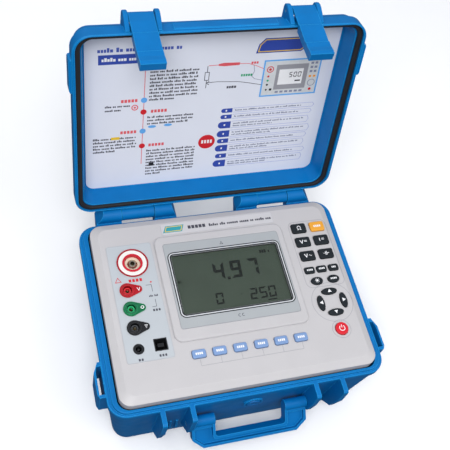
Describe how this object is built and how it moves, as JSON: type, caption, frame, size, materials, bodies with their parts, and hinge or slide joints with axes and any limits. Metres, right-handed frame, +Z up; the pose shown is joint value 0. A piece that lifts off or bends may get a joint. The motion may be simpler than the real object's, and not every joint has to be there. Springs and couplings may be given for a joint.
{
  "type": "insulation resistance tester",
  "caption": "Insulation resistance tester built into a hard plastic carry case with hinged lid, draw latches, carry handle, display, keypad and test sockets.",
  "frame": {"origin": "centre of the case's flat bottom", "axes": "+X to the right seen from the handle side, +Y to the hinge side, +Z up"},
  "size_m": [0.2768, 0.3014, 0.2926],
  "materials": {
    "case_blue": "fine moulded texture, satin",
    "pin_steel": "bright drawn wire",
    "valve_plastic": "moulded, satin",
    "gasket_rubber": "soft black seal",
    "label_film": "printed film, low gloss",
    "panel_grey": "fine texture, satin",
    "title_film": "printed film, low gloss",
    "label_film_panel": "printed film, low gloss",
    "bezel_film": "printed film, low gloss",
    "window_clear": "clear, slightly grey",
    "lcd_face": "grey-green display face",
    "holder_plastic": "plain moulded",
    "jack_red": "moulded, semi-gloss",
    "jack_green": "moulded, semi-gloss",
    "jack_black": "moulded, satin",
    "contact_metal": "nickel-plated brass",
    "nut_plastic": "plain moulded",
    "socket_white": "moulded, semi-gloss",
    "socket_cream": "moulded insulator, semi-gloss",
    "socket_red": "moulded, semi-gloss",
    "key_dark": "silicone, satin",
    "key_amber": "silicone, satin",
    "key_red": "silicone, satin",
    "key_blue": "silicone, satin",
    "mat_rubber": "silicone sheet",
    "board_green": "printed circuit board",
    "module_black": "potted block",
    "cell_jacket": "metal cell jacket; aluminium density is close to that of a real cell",
    "wire_skin": "silicone wire"
  },
  "bodies": {
    "base": {"case_base": "case_blue", "hinge_pins": "pin_steel", "handle_pins": "pin_steel", "case_screws": "pin_steel", "pressure_valve": "valve_plastic", "front_panel": "panel_grey", "title_strip": "title_film", "jack_label": "label_film_panel", "display_bezel": "bezel_film", "display_window": "window_clear", "lcd_glass": "lcd_face", "lcd_holder": "holder_plastic", "jack_red": "jack_red", "jack_green": "jack_green", "jack_black": "jack_black", "jack_contacts": "contact_metal", "jack_nuts": "nut_plastic", "line_socket_body": "socket_white", "line_socket_insulator": "socket_cream", "line_socket_ring": "socket_red", "line_socket_contact": "contact_metal", "dc_jack": "jack_black", "usb_port": "jack_black", "keypad_mat": "mat_rubber", "keypad_board": "board_green", "main_board": "board_green", "high_voltage_module": "module_black", "battery_cells": "cell_jacket", "buzzer": "module_black", "lead_wires": "wire_skin"},
    "lid": {"case_lid": "case_blue", "lid_gasket": "gasket_rubber", "lid_label": "label_film"},
    "latch_pin_left": {"latch_pin_left": "pin_steel"},
    "latch_pin_right": {"latch_pin_right": "pin_steel"},
    "latch_left": {"latch_left": "case_blue"},
    "latch_right": {"latch_right": "case_blue"},
    "handle": {"carry_handle": "case_blue"},
    "key_ohm": {"key_ohm": "key_dark"},
    "key_test": {"key_test": "key_amber"},
    "key_ac_volts": {"key_ac_volts": "key_dark"},
    "key_current": {"key_current": "key_dark"},
    "key_dc_volts": {"key_dc_volts": "key_dark"},
    "key_capacitance": {"key_capacitance": "key_dark"},
    "key_store": {"key_store": "key_dark"},
    "key_recall": {"key_recall": "key_dark"},
    "key_clear": {"key_clear": "key_dark"},
    "key_backlight": {"key_backlight": "key_dark"},
    "key_mode": {"key_mode": "key_dark"},
    "key_up": {"key_up": "key_dark"},
    "key_down": {"key_down": "key_dark"},
    "key_left": {"key_left": "key_dark"},
    "key_right": {"key_right": "key_dark"},
    "key_power": {"key_power": "key_red"},
    "key_f1": {"key_f1": "key_blue"},
    "key_f2": {"key_f2": "key_blue"},
    "key_f3": {"key_f3": "key_blue"},
    "key_f4": {"key_f4": "key_blue"},
    "key_f5": {"key_f5": "key_blue"},
    "key_f6": {"key_f6": "key_blue"}
  },
  "joints": [
    {"name": "lid_hinge", "type": "hinge", "parent": "base", "child": "lid", "pos_m": [0, 0.1054, 0.0895], "axis": [-1, 0, 0], "range_deg": [-104.5, 0]},
    {"name": "latch_pin_left_turn", "type": "hinge", "parent": "lid", "child": "latch_pin_left", "pos_m": [-0.0721, 0.17248, 0.28658], "axis": [-1, 0, 0], "range_deg": [0, 20.1]},
    {"name": "latch_pin_right_turn", "type": "hinge", "parent": "lid", "child": "latch_pin_right", "pos_m": [0.0721, 0.17248, 0.28658], "axis": [-1, 0, 0], "range_deg": [0, 20.1]},
    {"name": "latch_left_swing", "type": "hinge", "parent": "latch_pin_left", "child": "latch_left", "pos_m": [-0.0721, 0.17248, 0.28658], "axis": [-1, 0, 0], "range_deg": [-5.5, 110]},
    {"name": "latch_right_swing", "type": "hinge", "parent": "latch_pin_right", "child": "latch_right", "pos_m": [0.0721, 0.17248, 0.28658], "axis": [-1, 0, 0], "range_deg": [-5.5, 110]},
    {"name": "handle_swing", "type": "hinge", "parent": "base", "child": "handle", "pos_m": [0, -0.1017, 0.052], "axis": [1, 0, 0], "range_deg": [-125, 40]},
    {"name": "key_ohm_press", "type": "slide", "parent": "base", "child": "key_ohm", "axis": [0, 0, -1], "range_m": [0, 0.0012], "stiffness_N_per_m": 600},
    {"name": "key_test_press", "type": "slide", "parent": "base", "child": "key_test", "axis": [0, 0, -1], "range_m": [0, 0.0012], "stiffness_N_per_m": 600},
    {"name": "key_ac_volts_press", "type": "slide", "parent": "base", "child": "key_ac_volts", "axis": [0, 0, -1], "range_m": [0, 0.0012], "stiffness_N_per_m": 600},
    {"name": "key_current_press", "type": "slide", "parent": "base", "child": "key_current", "axis": [0, 0, -1], "range_m": [0, 0.0012], "stiffness_N_per_m": 600},
    {"name": "key_dc_volts_press", "type": "slide", "parent": "base", "child": "key_dc_volts", "axis": [0, 0, -1], "range_m": [0, 0.0012], "stiffness_N_per_m": 600},
    {"name": "key_capacitance_press", "type": "slide", "parent": "base", "child": "key_capacitance", "axis": [0, 0, -1], "range_m": [0, 0.0012], "stiffness_N_per_m": 600},
    {"name": "key_store_press", "type": "slide", "parent": "base", "child": "key_store", "axis": [0, 0, -1], "range_m": [0, 0.0012], "stiffness_N_per_m": 600},
    {"name": "key_recall_press", "type": "slide", "parent": "base", "child": "key_recall", "axis": [0, 0, -1], "range_m": [0, 0.0012], "stiffness_N_per_m": 600},
    {"name": "key_clear_press", "type": "slide", "parent": "base", "child": "key_clear", "axis": [0, 0, -1], "range_m": [0, 0.0012], "stiffness_N_per_m": 600},
    {"name": "key_backlight_press", "type": "slide", "parent": "base", "child": "key_backlight", "axis": [0, 0, -1], "range_m": [0, 0.0012], "stiffness_N_per_m": 600},
    {"name": "key_mode_press", "type": "slide", "parent": "base", "child": "key_mode", "axis": [0, 0, -1], "range_m": [0, 0.0012], "stiffness_N_per_m": 600},
    {"name": "key_up_press", "type": "slide", "parent": "base", "child": "key_up", "axis": [0, 0, -1], "range_m": [0, 0.0012], "stiffness_N_per_m": 600},
    {"name": "key_down_press", "type": "slide", "parent": "base", "child": "key_down", "axis": [0, 0, -1], "range_m": [0, 0.0012], "stiffness_N_per_m": 600},
    {"name": "key_left_press", "type": "slide", "parent": "base", "child": "key_left", "axis": [0, 0, -1], "range_m": [0, 0.0012], "stiffness_N_per_m": 600},
    {"name": "key_right_press", "type": "slide", "parent": "base", "child": "key_right", "axis": [0, 0, -1], "range_m": [0, 0.0012], "stiffness_N_per_m": 600},
    {"name": "key_power_press", "type": "slide", "parent": "base", "child": "key_power", "axis": [0, 0, -1], "range_m": [0, 0.0012], "stiffness_N_per_m": 600},
    {"name": "key_f1_press", "type": "slide", "parent": "base", "child": "key_f1", "axis": [0, 0, -1], "range_m": [0, 0.0012], "stiffness_N_per_m": 600},
    {"name": "key_f2_press", "type": "slide", "parent": "base", "child": "key_f2", "axis": [0, 0, -1], "range_m": [0, 0.0012], "stiffness_N_per_m": 600},
    {"name": "key_f3_press", "type": "slide", "parent": "base", "child": "key_f3", "axis": [0, 0, -1], "range_m": [0, 0.0012], "stiffness_N_per_m": 600},
    {"name": "key_f4_press", "type": "slide", "parent": "base", "child": "key_f4", "axis": [0, 0, -1], "range_m": [0, 0.0012], "stiffness_N_per_m": 600},
    {"name": "key_f5_press", "type": "slide", "parent": "base", "child": "key_f5", "axis": [0, 0, -1], "range_m": [0, 0.0012], "stiffness_N_per_m": 600},
    {"name": "key_f6_press", "type": "slide", "parent": "base", "child": "key_f6", "axis": [0, 0, -1], "range_m": [0, 0.0012], "stiffness_N_per_m": 600}
  ],
  "couplings": [
    {"joint": "latch_pin_left_turn", "follows": "lid_hinge", "ratio": -0.19139},
    {"joint": "latch_pin_right_turn", "follows": "lid_hinge", "ratio": -0.19139}
  ]
}
